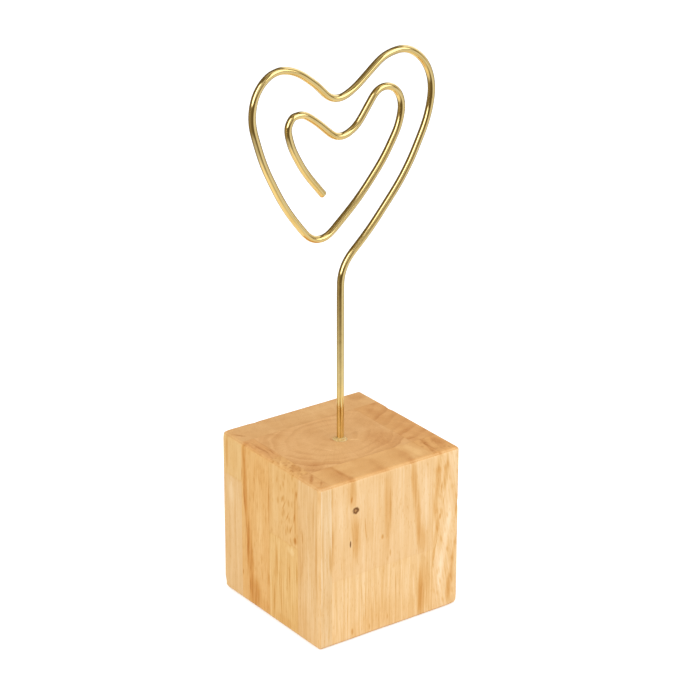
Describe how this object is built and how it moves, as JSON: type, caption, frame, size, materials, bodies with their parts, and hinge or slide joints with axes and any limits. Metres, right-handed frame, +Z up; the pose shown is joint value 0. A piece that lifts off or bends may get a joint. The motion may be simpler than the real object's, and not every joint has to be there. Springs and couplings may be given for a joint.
{
  "type": "table number holder",
  "caption": "Wooden cube glued up from staves, with an upright brass wire bent into a flat two-turn heart that clips a card.",
  "frame": {"origin": "centre of the block's underside, on the axis of the wire's stem", "axes": "+Z up along the stem; -Y is the front, where the heart is seen full face; +X to the right of someone facing it"},
  "size_m": [0.0632, 0.0494, 0.1668],
  "materials": {
    "stave_pale": "sanded, open pores, faint satin",
    "stave_amber": "sanded, open pores, faint satin",
    "stave_brown": "sanded, open pores, faint satin",
    "brass_wire": "drawn wire, satin with soft highlights",
    "dried_glue": "dried glue, slightly cloudy"
  },
  "bodies": {
    "root": {"back_stave_upper": "stave_pale", "back_stave_lower": "stave_pale", "left_stave_rear": "stave_amber", "left_stave_front_upper": "stave_amber", "left_stave_front_lower": "stave_amber", "core_stave": "stave_amber", "right_stave": "stave_brown", "corner_stave_left": "stave_brown", "front_stave_upper": "stave_pale", "front_stave_lower": "stave_pale", "corner_stave_right": "stave_brown", "heart_wire": "brass_wire", "glue_bead": "dried_glue"}
  },
  "joints": []
}
